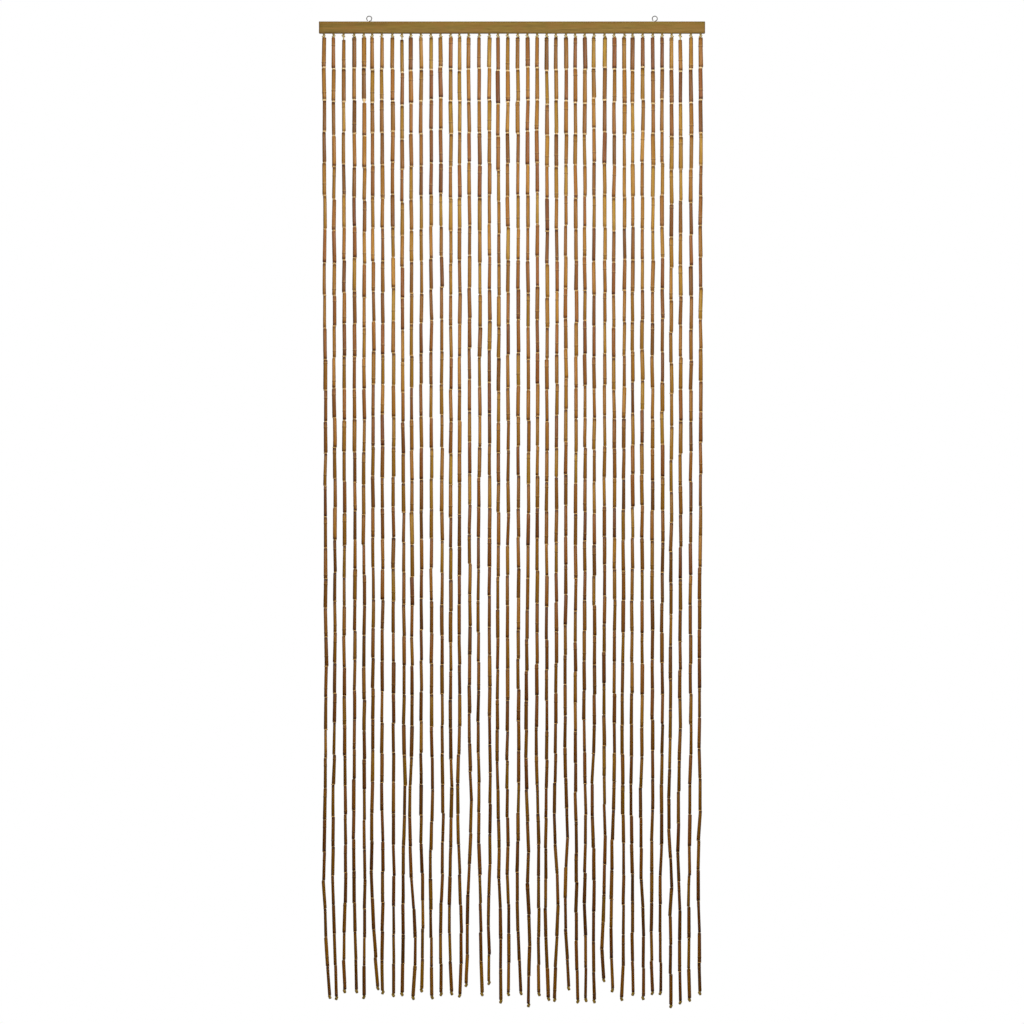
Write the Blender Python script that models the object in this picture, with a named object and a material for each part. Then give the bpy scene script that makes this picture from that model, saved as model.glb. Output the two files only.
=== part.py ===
"""A string curtain of bamboo sticks for a doorway.

A wooden rail carries two screw eyes on its top edge, and forty strands of sticks threaded on cord.
Units are metres and +Z is up. The origin is the middle of the rail's top face, and the front faces -Y.
"""

import math

import bmesh
import bpy
import numpy as np

MM = 0.001
CLEARANCE = 0.3 * MM

# Rail: a squared wooden batten. Its drilled holes have flat sides, so they are bored a little wider.
RAIL_LENGTH = 800 * MM
RAIL_DEPTH = 12 * MM
RAIL_HEIGHT = 24 * MM
RAIL_EDGE = 0.7 * MM
DRILL_EXTRA = 0.05 * MM
DRILL_SIDES = 12

# Backing: the cords' ends, let into a groove under each half of the rail as one narrow strip.
BACKING_DEPTH = 6 * MM
BACKING_HEIGHT = 2 * MM
BACKING_PAST_STRAND = 6 * MM

# Screw eyes: steel wire, bent to a ring on a pointed shank.
EYE_FROM_MIDDLE = 296 * MM
EYE_OUTER = 12.2 * MM
EYE_WIRE = 1.8 * MM
EYE_SHANK = 15 * MM
EYE_POINT = 3 * MM
EYE_TIP_SHARE = 0.15
EYE_RING_FROM = math.radians(-55)
EYE_RING_TO = math.radians(236)
EYE_RING_POINTS = 15
EYE_BEND_POINTS = 4
EYE_CENTRE = EYE_OUTER / 2 + 0.4 * MM

# Strands: forty, evenly spaced, each with the same count of sticks.
STRANDS = 40
STICKS = 31
PITCH = RAIL_LENGTH / STRANDS
FIRST_STICK = 32.5 * MM
LOW_FIRST_STICK = 37.5 * MM
LOW_STRANDS = (3, 9, 38)
GAP_AT_TOP = 3.2 * MM
GAP_AT_FOOT = 1.3 * MM
STICK_VARIES = 0.07
LONGER_AT_TOP = 1.03
SHORTER_AT_FOOT = 0.98

# One joint has slipped open: the one below the second stick of strand 5.
LOOSE_STRAND = 5
LOOSE_BELOW_STICK = 2
LOOSE_GAP = 9 * MM

# A stick is a little thicker at its lower end, and the lowest sticks are thinner than the top ones.
STICK_RADIUS = 3.95 * MM
STICK_TAPER = 0.86
THICKNESS_AT_STICK = (1, 6, 16, 31)
THICKNESS_SHARE = (1.10, 0.98, 0.96, 0.87)
THICKNESS_VARIES = 0.06

# Cord above the first stick, and the stop knot below the last.
CORD_RADIUS = 1.3 * MM
CORD_NECK = 1.6 * MM
FOOT_LENGTH = 8 * MM
FOOT_NECK = 1 * MM
KNOT_RADIUS = 3.2 * MM

# Small shifts from joint to joint, which grow towards the foot.
SWAY_AT_TOP = 0.55 * MM
SWAY_AT_FOOT = 0.70 * MM
SWAY_KEPT = 0.5
LEAN_AT_FOOT = 1.65 * MM
LEAN_KEPT = 0.8
SEED = 31

SIDES = 3
SIDE_TO_CORNER = 2 / math.sqrt(3)

# How each strand hangs, left to right, in millimetres, read by eye. Drifts are sideways from the strand's
# own fortieth of the rail, + to the right, at nine depths below the rail's top and at the foot.
# The drop is from the rail's top down to the foot.
DRIFT_DEPTHS = (0.06, 0.585, 1.0, 1.48, 1.61, 1.695, 1.775, 1.855, 1.925)
HANG = (
    # neck, chest, waist, thigh, knee, calf, shin, ankle, heel, foot, drop
    (0, 2, 3, 5, 4, 2, -1, 2, 6, 12, 2026),
    (0, 1, 3, 2, -1, 0, -2, 1, 3, 6, 2028),
    (1, 2, 3, 2, 4, 5, 5, 3, 0, 3, 2014),
    (3, 4, 4, 4, 3, 2, 3, 3, 6, 9, 2014),
    (3, 4, 3, 4, 3, 3, 5, 4, 4, 3, 2026),
    (0, 3, 2, 2, 0, -1, -2, 3, 6, 12, 2008),
    (0, 2, 2, 1, 0, 3, 3, 2, 0, 2, 2016),
    (2, 4, 4, 4, 4, 4, 5, 5, 5, 4, 2022),
    (2, 3, 5, 6, 8, 5, 3, 5, 4, 2, 2020),
    (0, 2, 2, 3, -2, -2, 1, 7, 10, 4, 2028),
    (1, 2, 2, 2, 1, 1, 5, 6, 5, 2, 2012),
    (2, 3, 3, 3, 5, 2, 0, 2, 2, 5, 2027),
    (2, 4, 5, 5, 7, 6, 6, 2, 2, 4, 2020),
    (3, 3, 3, 3, 5, 3, 1, 0, 0, 6, 2018),
    (1, 2, 1, 1, -3, -1, 1, 4, 5, 2, 2023),
    (0, 2, 2, 2, 6, 4, 0, -2, -3, -5, 2001),
    (2, 4, 1, 0, 1, 1, 3, 5, 5, 7, 2020),
    (3, 3, 3, 4, 4, 4, 3, 1, 3, 2, 1997),
    (1, 3, 2, 0, 1, 3, 3, 6, 6, 6, 2035),
    (1, 2, 2, 0, 0, 1, 1, 3, 3, 3, 2020),
    (2, 3, 3, 3, 4, 3, 1, 1, 4, 10, 2018),
    (2, 3, 4, -1, 0, 5, 2, 6, 7, 4, 2043),
    (2, 3, 3, 0, 2, 5, 5, 5, 6, 6, 2020),
    (2, 3, 2, 2, 1, 0, 0, -1, 1, 6, 2030),
    (1, 3, 2, 1, -1, -1, 4, 5, 2, -2, 2032),
    (2, 2, 2, -1, 2, 5, 1, 0, 3, 7, 2008),
    (1, 3, 2, 1, 2, 3, 4, 3, 3, 6, 2035),
    (1, 1, 2, -1, 3, 2, 1, 1, 2, 2, 2032),
    (0, 0, 1, 0, -4, -1, -1, -1, -2, 0, 2035),
    (2, 2, 1, 1, 1, 2, 2, 0, -4, 1, 1991),
    (2, 1, 2, 3, 2, -2, -3, -4, -4, -2, 2012),
    (3, 3, 2, -1, -1, 1, 2, 1, 2, -4, 2030),
    (0, 0, 0, -2, -4, -2, 0, 0, 0, 1, 2020),
    (1, 0, 0, -1, -4, -2, -2, 2, 3, 2, 2028),
    (2, 2, 1, 1, 1, 0, 0, -2, -1, 1, 2018),
    (1, 2, 2, 1, 0, 0, -3, -3, -2, -2, 2018),
    (1, 0, 0, -2, -5, -4, 2, -2, -1, -1, 2045),
    (-1, 0, -1, -2, -4, -6, -5, -1, -2, -2, 2037),
    (1, 1, 1, 0, -1, -2, -2, -4, -4, -3, 2032),
    (1, 1, 1, -1, 1, -3, -5, -3, -2, 0, 2018),
)


def clear_scene():
    for thing in list(bpy.data.objects):
        bpy.data.objects.remove(thing, do_unlink=True)


def material(name, colour, roughness, metallic=0.0):
    made = bpy.data.materials.new(name)
    made.use_nodes = True
    shader = made.node_tree.nodes["Principled BSDF"]
    shader.inputs["Base Color"].default_value = (*colour, 1.0)
    shader.inputs["Roughness"].default_value = roughness
    shader.inputs["Metallic"].default_value = metallic
    return made


def add_object(name, data, finish, parent=None):
    made = bpy.data.objects.new(name, data)
    made.data.materials.append(finish)
    made.parent = parent
    bpy.context.collection.objects.link(made)
    return made


def mesh_from(name, bm):
    mesh = bpy.data.meshes.new(name)
    bm.to_mesh(mesh)
    bm.free()
    return mesh


def box_mesh(name, low, high):
    """A closed box between two corners."""
    bm = bmesh.new()
    bmesh.ops.create_cube(bm, size=1.0)
    size = [b - a for a, b in zip(low, high)]
    middle = [(a + b) / 2 for a, b in zip(low, high)]
    bmesh.ops.scale(bm, vec=size, verts=bm.verts)
    bmesh.ops.translate(bm, vec=middle, verts=bm.verts)
    return mesh_from(name, bm)


def boolean(target, other, operation):
    modifier = target.modifiers.new(other.name, "BOOLEAN")
    modifier.operation = operation
    modifier.object = other
    modifier.solver = "EXACT"
    other.hide_render = True
    other.display_type = "WIRE"


def strand_x(number):
    """Where strand 1 to 40 leaves the rail: the middle of its own fortieth of the rail."""
    return (number - (STRANDS + 1) / 2) * PITCH


def strand_joints(number):
    """Tops, bottoms, side shifts and forward shifts of one strand's sticks, from its own seeded draws.

    The shifts have one more entry than the sticks: the first is at the rail, the last at the foot.
    """
    *drifts, drop_mm = HANG[number - 1]
    drop = drop_mm * MM
    draws = np.random.default_rng(SEED + number)
    first = LOW_FIRST_STICK if number in LOW_STRANDS else FIRST_STICK
    gaps = np.linspace(GAP_AT_TOP, GAP_AT_FOOT, STICKS - 1)
    if number == LOOSE_STRAND:
        gaps[LOOSE_BELOW_STICK - 1] = LOOSE_GAP
    lengths = 1 + draws.uniform(-STICK_VARIES, STICK_VARIES, STICKS)
    lengths *= np.linspace(LONGER_AT_TOP, SHORTER_AT_FOOT, STICKS)
    lengths *= (drop - FOOT_LENGTH - first - gaps.sum()) / lengths.sum()
    bottoms = first + np.cumsum(lengths) + np.concatenate([[0.0], np.cumsum(gaps)])
    tops = bottoms - lengths
    joints = np.concatenate([[first], bottoms])
    share = joints / drop
    side = np.interp(joints, (*DRIFT_DEPTHS, drop), drifts) * MM
    forward = np.zeros_like(side)
    sway = 0.0
    lean = 0.0
    for i in range(1, len(joints)):
        sway_step = SWAY_AT_TOP + (SWAY_AT_FOOT - SWAY_AT_TOP) * share[i]
        sway = SWAY_KEPT * sway + sway_step * draws.uniform(-1, 1)
        lean = LEAN_KEPT * lean + LEAN_AT_FOOT * share[i] * draws.uniform(-1, 1)
        side[i] += sway
        forward[i] = lean
    return tops, bottoms, side, forward


def stick_radii(number):
    """The radius of each stick's lower end, from draws of its own."""
    draws = np.random.default_rng(SEED * STRANDS + number)
    varied = 1 + draws.uniform(-THICKNESS_VARIES, THICKNESS_VARIES, STICKS)
    share = np.interp(np.arange(1, STICKS + 1), THICKNESS_AT_STICK, THICKNESS_SHARE)
    return STICK_RADIUS * varied * share


def strand_rings(number):
    """Centre and radius of each ring down one strand: cord, each stick's two ends, then the stop knot."""
    tops, bottoms, side, forward = strand_joints(number)
    radii = stick_radii(number)
    x = strand_x(number)
    root_x = x + side[0]
    rings = [
        (root_x, 0.0, -RAIL_HEIGHT + BACKING_HEIGHT / 2, CORD_RADIUS),
        (root_x, 0.0, -RAIL_HEIGHT - CORD_NECK, CORD_RADIUS),
    ]
    for i in range(STICKS):
        rings.append((x + side[i], forward[i], -tops[i], STICK_TAPER * radii[i]))
        rings.append((x + side[i + 1], forward[i + 1], -bottoms[i], radii[i]))
    foot_x = x + side[-1]
    foot_z = -bottoms[-1]
    rings.append((foot_x, forward[-1], foot_z - FOOT_NECK, CORD_RADIUS))
    rings.append((foot_x, forward[-1], foot_z - FOOT_LENGTH, KNOT_RADIUS))
    return rings


def add_strand(bm, number):
    """Extrudes a three-sided strand, corner to the front, down through its rings and caps both ends."""
    corners = [-math.pi / 2 + 2 * math.pi * i / SIDES for i in range(SIDES)]
    loops = []
    for x, y, z, radius in strand_rings(number):
        reach = radius * SIDE_TO_CORNER
        loops.append([bm.verts.new((x + reach * math.cos(a), y + reach * math.sin(a), z)) for a in corners])
    for upper, lower in zip(loops, loops[1:]):
        for i in range(SIDES):
            j = (i + 1) % SIDES
            bm.faces.new((upper[i], lower[i], lower[j], upper[j]))
    bm.faces.new(loops[0])
    bm.faces.new(loops[-1][::-1])


def backing_span(numbers):
    """Left and right ends of the backing strip that holds these strands."""
    return strand_x(numbers[0]) - BACKING_PAST_STRAND, strand_x(numbers[-1]) + BACKING_PAST_STRAND


def make_strands(name, numbers, finish, parent):
    """A backing strip with its strands joined to it by one Boolean union."""
    bm = bmesh.new()
    for number in numbers:
        add_strand(bm, number)
    strings = add_object(name + "_strings", mesh_from(name + "_strings", bm), finish)
    left, right = backing_span(numbers)
    low = (left, -BACKING_DEPTH / 2, -RAIL_HEIGHT)
    high = (right, BACKING_DEPTH / 2, -RAIL_HEIGHT + BACKING_HEIGHT)
    backing = add_object(name, box_mesh(name, low, high), finish, parent)
    boolean(backing, strings, "UNION")
    return backing


def make_rail(halves, finish, parent):
    """The batten, its edges softened, with a groove below each half and a drilled hole for each screw eye."""
    low = (-RAIL_LENGTH / 2, -RAIL_DEPTH / 2, -RAIL_HEIGHT)
    high = (RAIL_LENGTH / 2, RAIL_DEPTH / 2, 0.0)
    rail = add_object("rail", box_mesh("rail", low, high), finish, parent)
    edges = rail.modifiers.new("edges", "BEVEL")
    edges.width = RAIL_EDGE
    edges.segments = 2
    for i, numbers in enumerate(halves):
        left, right = backing_span(numbers)
        half_depth = BACKING_DEPTH / 2 + CLEARANCE
        roof = -RAIL_HEIGHT + BACKING_HEIGHT + CLEARANCE
        mesh = box_mesh(
            f"groove_{i}",
            (left - CLEARANCE, -half_depth, -RAIL_HEIGHT - RAIL_EDGE),
            (right + CLEARANCE, half_depth, roof),
        )
        boolean(rail, add_object(f"groove_{i}", mesh, finish), "DIFFERENCE")
    for side in (-1, 1):
        bm = bmesh.new()
        radius = EYE_WIRE / 2 + CLEARANCE + DRILL_EXTRA
        depth = 2 * (EYE_SHANK + CLEARANCE)
        bmesh.ops.create_cone(
            bm, cap_ends=True, segments=DRILL_SIDES, radius1=radius, radius2=radius, depth=depth
        )
        bmesh.ops.translate(bm, vec=(side * EYE_FROM_MIDDLE, 0, 0), verts=bm.verts)
        hole = add_object(f"drill_{side}", mesh_from(f"drill_{side}", bm), finish)
        boolean(rail, hole, "DIFFERENCE")
    return rail


def eye_path():
    """Points (x, z, radius share) from the shank's tip, round the bend and along the ring's arc."""
    ring = (EYE_OUTER - EYE_WIRE) / 2
    start = np.array([ring * math.cos(EYE_RING_FROM), EYE_CENTRE + ring * math.sin(EYE_RING_FROM)])
    heading = np.array([-math.sin(EYE_RING_FROM), math.cos(EYE_RING_FROM)])
    top = np.array([0.0, EYE_CENTRE - ring - EYE_WIRE / 2])
    points = [(0.0, -EYE_SHANK, EYE_TIP_SHARE), (0.0, -EYE_SHANK + EYE_POINT, 1.0)]
    reach = np.linalg.norm(start - top) / 3
    for i in range(EYE_BEND_POINTS):
        t = i / EYE_BEND_POINTS
        first = top * (1 - t) ** 3 + 3 * (top + (0, reach)) * t * (1 - t) ** 2
        point = first + 3 * (start - heading * reach) * t * t * (1 - t) + start * t**3
        points.append((point[0], point[1], 1.0))
    for angle in np.linspace(EYE_RING_FROM, EYE_RING_TO, EYE_RING_POINTS):
        points.append((ring * math.cos(angle), EYE_CENTRE + ring * math.sin(angle), 1.0))
    return points


def make_screw_eye(name, x, finish, parent):
    """Round wire swept along the eye's path, in the plane of the rail's front."""
    curve = bpy.data.curves.new(name, "CURVE")
    curve.dimensions = "3D"
    curve.bevel_depth = EYE_WIRE / 2
    curve.bevel_resolution = 2
    curve.use_fill_caps = True
    points = eye_path()
    spline = curve.splines.new("POLY")
    spline.points.add(len(points) - 1)
    for point, (along, up, share) in zip(spline.points, points):
        point.co = (along, 0.0, up, 1.0)
        point.radius = share
    eye = add_object(name, curve, finish, parent)
    eye.location = (x, 0, 0)
    return eye


def main():
    clear_scene()
    wood = material("rail_wood", (0.29, 0.17, 0.045), 0.6)
    bamboo = material("bamboo", (0.38, 0.19, 0.055), 0.5)
    steel = material("eye_steel", (0.45, 0.45, 0.44), 0.35, 1.0)
    hanger = bpy.data.objects.new("hanger", None)
    bpy.context.collection.objects.link(hanger)
    half = STRANDS // 2
    left = list(range(1, half + 1))
    right = list(range(half + 1, STRANDS + 1))
    make_rail((left, right), wood, hanger)
    make_screw_eye("screw_eye_left", -EYE_FROM_MIDDLE, steel, hanger)
    make_screw_eye("screw_eye_right", EYE_FROM_MIDDLE, steel, hanger)
    make_strands("strands_left", left, bamboo, hanger)
    make_strands("strands_right", right, bamboo, hanger)


main()
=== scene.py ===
# %% [markdown]
# A door curtain of bamboo sticks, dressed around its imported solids
#
# The real thing is a squared wooden rail with forty cords hanging from it, each threaded through thirty-one
# short bored bamboo sticks. This file makes its looks in small steps: every shape is a formula on a grid of
# numbers worked out with numpy, and every finish is a node material. The solids that carry and place the
# pieces are loaded first and are never moved.

import math

import bpy
import numpy as np
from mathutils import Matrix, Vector


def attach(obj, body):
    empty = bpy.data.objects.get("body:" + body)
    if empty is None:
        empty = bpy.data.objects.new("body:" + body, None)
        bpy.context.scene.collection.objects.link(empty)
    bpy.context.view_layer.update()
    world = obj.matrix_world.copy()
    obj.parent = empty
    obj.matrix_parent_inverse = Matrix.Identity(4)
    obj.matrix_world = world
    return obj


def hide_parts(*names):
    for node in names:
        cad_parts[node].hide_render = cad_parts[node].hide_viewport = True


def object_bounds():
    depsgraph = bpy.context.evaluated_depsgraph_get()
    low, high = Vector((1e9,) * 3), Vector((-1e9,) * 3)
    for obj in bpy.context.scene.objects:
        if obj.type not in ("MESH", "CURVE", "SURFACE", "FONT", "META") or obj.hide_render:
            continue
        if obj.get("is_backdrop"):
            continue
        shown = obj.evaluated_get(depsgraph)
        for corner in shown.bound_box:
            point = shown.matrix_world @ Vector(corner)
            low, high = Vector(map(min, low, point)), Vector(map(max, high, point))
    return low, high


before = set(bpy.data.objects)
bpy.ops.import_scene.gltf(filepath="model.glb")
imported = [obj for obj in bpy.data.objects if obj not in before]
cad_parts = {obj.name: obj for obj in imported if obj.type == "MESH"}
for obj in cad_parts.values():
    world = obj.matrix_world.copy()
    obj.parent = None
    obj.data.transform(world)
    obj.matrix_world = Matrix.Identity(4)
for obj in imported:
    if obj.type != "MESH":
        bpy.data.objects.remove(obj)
solid_low, solid_high = (np.array(corner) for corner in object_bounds())
print("solids reach from", solid_low.round(4), "to", solid_high.round(4))

MM = 0.001
TURN = 2 * math.pi

# %% [markdown]
# Meshes from arrays
#
# A shape here is a grid of points: rows follow one parameter and columns the other. Quads join each cell,
# and a direction that comes back to its start is wrapped. The first helpers turn such grids into faces, and
# the last puts points, faces, a UV map and per-point values into a mesh, so every later cell only has to
# give a formula.

# %% Helpers for grids and meshes
SHARP_EDGE = math.radians(40)


def grid_quads(rows, columns, wrap_rows=False):
    """Corner numbers of a grid's quads. Its columns run round and close, and its rows do so if asked."""
    r = np.arange(rows if wrap_rows else rows - 1)
    r, c = (a.ravel() for a in np.meshgrid(r, np.arange(columns), indexing="ij"))
    here, below, along = r * columns, (r + 1) % rows * columns, (c + 1) % columns
    return np.stack([here + c, below + c, below + along, here + along], axis=1)


def many_quads(quads, copies, points_each):
    """The same quads for several copies of a grid, numbered one after another."""
    step = np.arange(copies)[:, None, None] * points_each
    return (quads[None] + step).reshape(-1, 4)


def end_caps(rows, columns):
    """Two faces that close a tube: its first ring as it runs, and its last ring turned back."""
    first = np.arange(columns)
    return [first, (first + (rows - 1) * columns)[::-1]]


def turn_share(quads, around):
    """Each corner's share of the turn round a grid; where a quad closes the turn, 0 counts as 1."""
    column = quads % around
    closes = (column == 0) & (column.max(axis=1, keepdims=True) == around - 1)
    return np.where(closes, around, column) / around


def ring_angles(around):
    """Evenly spaced angles of one turn, without the last, which is the first again."""
    return np.arange(around) / around * TURN


def put_mesh(name, points, faces, uv=None, values=None, sharp=SHARP_EDGE):
    """An object at the origin from points, faces, one UV pair per face corner and named per-point values."""
    mesh = bpy.data.meshes.new(name)
    mesh.from_pydata(np.asarray(points).reshape(-1, 3).tolist(), [], [list(map(int, f)) for f in faces])
    if uv is not None:
        layer = mesh.uv_layers.new(name="surface")
        layer.uv.foreach_set("vector", np.asarray(uv, np.float32).ravel())
    for key, numbers in (values or {}).items():
        held = mesh.attributes.new(key, "FLOAT", "POINT")
        held.data.foreach_set("value", np.asarray(numbers, np.float32).ravel())
    mesh.shade_smooth()
    mesh.set_sharp_from_angle(angle=sharp)
    made = bpy.data.objects.new(name, mesh)
    bpy.context.scene.collection.objects.link(made)
    return made


def finish_piece(piece, material, replaced=()):
    """Gives a piece its material and hooks it to the frame."""
    piece.data.materials.append(material)
    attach(piece, "root")
    if replaced:
        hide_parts(*replaced)


def unit(vectors):
    """Each vector divided by its own length."""
    return vectors / np.linalg.norm(vectors, axis=-1, keepdims=True)


print("a grid of three rings of eight points has", len(grid_quads(3, 8)), "faces")

# %% [markdown]
# How the strands hang
#
# On the real curtain every strand leaves the rail at its own place and hangs plumb for its first metre.
# Lower down the light sticks lean a little this way and that on their stiff cord, and no two strands end at
# the same height. A simulation would swing them all alike, so the drifts are set at a few depths, read from
# how the curtain hangs, and small seeded shifts are added at each joint. The solids follow the very same
# rule.

# %% Sizes of the rail and the strands
RAIL_LENGTH = 800 * MM
RAIL_DEPTH = 12 * MM
RAIL_HEIGHT = 24 * MM
CURTAIN_DROP = 2.02
STRANDS = 40
STICKS = 31
PITCH = RAIL_LENGTH / STRANDS
FIRST_STICK = 32.5 * MM
LOW_FIRST_STICK = 37.5 * MM
LOW_STRANDS = (3, 9, 38)
GAP_AT_TOP = 3.2 * MM
GAP_AT_FOOT = 1.3 * MM
STICK_VARIES = 0.07
LONGER_AT_TOP = 1.03
SHORTER_AT_FOOT = 0.98
LOOSE_STRAND = 5
LOOSE_BELOW_STICK = 2
LOOSE_GAP = 9 * MM
FOOT_LENGTH = 8 * MM
SWAY_AT_TOP = 0.55 * MM
SWAY_AT_FOOT = 0.70 * MM
SWAY_KEPT = 0.5
LEAN_AT_FOOT = 1.65 * MM
LEAN_KEPT = 0.8
SEED = 31
DRIFT_DEPTHS = (0.06, 0.585, 1.0, 1.48, 1.61, 1.695, 1.775, 1.855, 1.925)
# A row is a strand, from the left: its shift to the right in mm at each of those nine depths and at its
# foot, then its drop in mm.
HANG = (
    (0, 2, 3, 5, 4, 2, -1, 2, 6, 12, 2026),
    (0, 1, 3, 2, -1, 0, -2, 1, 3, 6, 2028),
    (1, 2, 3, 2, 4, 5, 5, 3, 0, 3, 2014),
    (3, 4, 4, 4, 3, 2, 3, 3, 6, 9, 2014),
    (3, 4, 3, 4, 3, 3, 5, 4, 4, 3, 2026),
    (0, 3, 2, 2, 0, -1, -2, 3, 6, 12, 2008),
    (0, 2, 2, 1, 0, 3, 3, 2, 0, 2, 2016),
    (2, 4, 4, 4, 4, 4, 5, 5, 5, 4, 2022),
    (2, 3, 5, 6, 8, 5, 3, 5, 4, 2, 2020),
    (0, 2, 2, 3, -2, -2, 1, 7, 10, 4, 2028),
    (1, 2, 2, 2, 1, 1, 5, 6, 5, 2, 2012),
    (2, 3, 3, 3, 5, 2, 0, 2, 2, 5, 2027),
    (2, 4, 5, 5, 7, 6, 6, 2, 2, 4, 2020),
    (3, 3, 3, 3, 5, 3, 1, 0, 0, 6, 2018),
    (1, 2, 1, 1, -3, -1, 1, 4, 5, 2, 2023),
    (0, 2, 2, 2, 6, 4, 0, -2, -3, -5, 2001),
    (2, 4, 1, 0, 1, 1, 3, 5, 5, 7, 2020),
    (3, 3, 3, 4, 4, 4, 3, 1, 3, 2, 1997),
    (1, 3, 2, 0, 1, 3, 3, 6, 6, 6, 2035),
    (1, 2, 2, 0, 0, 1, 1, 3, 3, 3, 2020),
    (2, 3, 3, 3, 4, 3, 1, 1, 4, 10, 2018),
    (2, 3, 4, -1, 0, 5, 2, 6, 7, 4, 2043),
    (2, 3, 3, 0, 2, 5, 5, 5, 6, 6, 2020),
    (2, 3, 2, 2, 1, 0, 0, -1, 1, 6, 2030),
    (1, 3, 2, 1, -1, -1, 4, 5, 2, -2, 2032),
    (2, 2, 2, -1, 2, 5, 1, 0, 3, 7, 2008),
    (1, 3, 2, 1, 2, 3, 4, 3, 3, 6, 2035),
    (1, 1, 2, -1, 3, 2, 1, 1, 2, 2, 2032),
    (0, 0, 1, 0, -4, -1, -1, -1, -2, 0, 2035),
    (2, 2, 1, 1, 1, 2, 2, 0, -4, 1, 1991),
    (2, 1, 2, 3, 2, -2, -3, -4, -4, -2, 2012),
    (3, 3, 2, -1, -1, 1, 2, 1, 2, -4, 2030),
    (0, 0, 0, -2, -4, -2, 0, 0, 0, 1, 2020),
    (1, 0, 0, -1, -4, -2, -2, 2, 3, 2, 2028),
    (2, 2, 1, 1, 1, 0, 0, -2, -1, 1, 2018),
    (1, 2, 2, 1, 0, 0, -3, -3, -2, -2, 2018),
    (1, 0, 0, -2, -5, -4, 2, -2, -1, -1, 2045),
    (-1, 0, -1, -2, -4, -6, -5, -1, -2, -2, 2037),
    (1, 1, 1, 0, -1, -2, -2, -4, -4, -3, 2032),
    (1, 1, 1, -1, 1, -3, -5, -3, -2, 0, 2018),
)
print(STRANDS, "strands hang", round(PITCH / MM), "mm apart")

# %% One strand's joints


def kept_sum(steps, kept):
    """Running sum in which each earlier step counts for kept times less at every joint it is carried on."""
    power = np.arange(len(steps))[:, None] - np.arange(len(steps))[None]
    return np.where(power >= 0, kept ** np.maximum(power, 0.0), 0.0) @ steps


def strand_joints(number):
    """Tops and bottoms of a strand's sticks, and its side and forward shifts, from its place on the rail."""
    *drifts, drop_mm = HANG[number - 1]
    drop = drop_mm * MM
    draws = np.random.default_rng(SEED + number)
    first = LOW_FIRST_STICK if number in LOW_STRANDS else FIRST_STICK
    gaps = np.linspace(GAP_AT_TOP, GAP_AT_FOOT, STICKS - 1)
    if number == LOOSE_STRAND:
        gaps[LOOSE_BELOW_STICK - 1] = LOOSE_GAP
    lengths = 1 + draws.uniform(-STICK_VARIES, STICK_VARIES, STICKS)
    lengths *= np.linspace(LONGER_AT_TOP, SHORTER_AT_FOOT, STICKS)
    lengths *= (drop - FOOT_LENGTH - first - gaps.sum()) / lengths.sum()
    bottoms = first + np.cumsum(lengths) + np.concatenate([[0.0], np.cumsum(gaps)])
    joints = np.concatenate([[first], bottoms])
    share = joints[1:] / drop
    side = np.interp(joints, (*DRIFT_DEPTHS, drop), drifts) * MM
    sway, lean = draws.uniform(-1, 1, (STICKS, 2)).T
    side[1:] += kept_sum((SWAY_AT_TOP + (SWAY_AT_FOOT - SWAY_AT_TOP) * share) * sway, SWAY_KEPT)
    forward = np.concatenate([[0.0], kept_sum(LEAN_AT_FOOT * share * lean, LEAN_KEPT)])
    return bottoms - lengths, bottoms, side, forward


def stick_ends(number):
    """Top and bottom centres of one strand's sticks in the curtain's own place, as two (sticks, 3) arrays."""
    tops, bottoms, side, forward = strand_joints(number)
    x = (number - (STRANDS + 1) / 2) * PITCH
    top = np.stack([x + side[:-1], forward[:-1], -tops], axis=1)
    bottom = np.stack([x + side[1:], forward[1:], -bottoms], axis=1)
    return top, bottom


lengths = [np.linalg.norm(low - high, axis=1) for high, low in map(stick_ends, range(1, STRANDS + 1))]
print("sticks from", round(np.min(lengths) * 1000, 1), "to", round(np.max(lengths) * 1000, 1), "mm long")

# %% [markdown]
# The sticks
#
# Each stick is a cut length of thin bamboo, bored through for the cord. It tapers a little, isn't quite
# round or quite straight, sits loosely on its cord, and more often than not has a node, the ring where a
# leaf grew. They could be copies of one modelled stick, but then they would all be alike. So all of them
# come from one formula on one grid: nine rings that run down the outside, round the lower rim, up the bore
# and back to the start, by eight points round. The formula places a whole strand of sticks at once, and the
# few dozen faces that each one has keep more than a thousand of them light.

# %% Sizes of a stick
STICK_RADIUS = 3.95 * MM
THICKNESS_AT_STICK = (1, 6, 16, 31)
THICKNESS_SHARE = (1.10, 0.98, 0.96, 0.87)
THICKNESS_VARIES = 0.10
SMALL_END = (0.88, 1.02)
OVAL = 0.04
BOW = 0.45 * MM
PLAY = 0.75 * MM
BORE_RADIUS = 1.9 * MM
RIM_WIDTH = 0.55 * MM
RIM_DROP = 0.8 * MM
MOUTH_DEPTH = 0.3 * MM
MOUTH_RINGS = [0, 8]
RIM_RINGS = [1, 7]
NODE_SHARE = 0.62
NODE_IN_TOP_HALF = 0.5
NODE_NEAR_TOP = (0.07, 0.32)
NODE_NEAR_FOOT = (0.66, 0.93)
NODE_HALF = 1.6 * MM
NODE_RAISED = 0.075
NODE_STEEP = 2.2
NODE_WAIST = -0.035
WAIST_STEEP = 6
AROUND = 8
STICK_VALUES = ("tone", "end_and_hue", "node_at", "has_node")
RADIUS_SEED = SEED * STRANDS
TRAIT_SEED = 7 * SEED * STRANDS
print("a stick is about", round(2 * STICK_RADIUS / MM, 1), "mm thick")

# %% The stick surface


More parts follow.
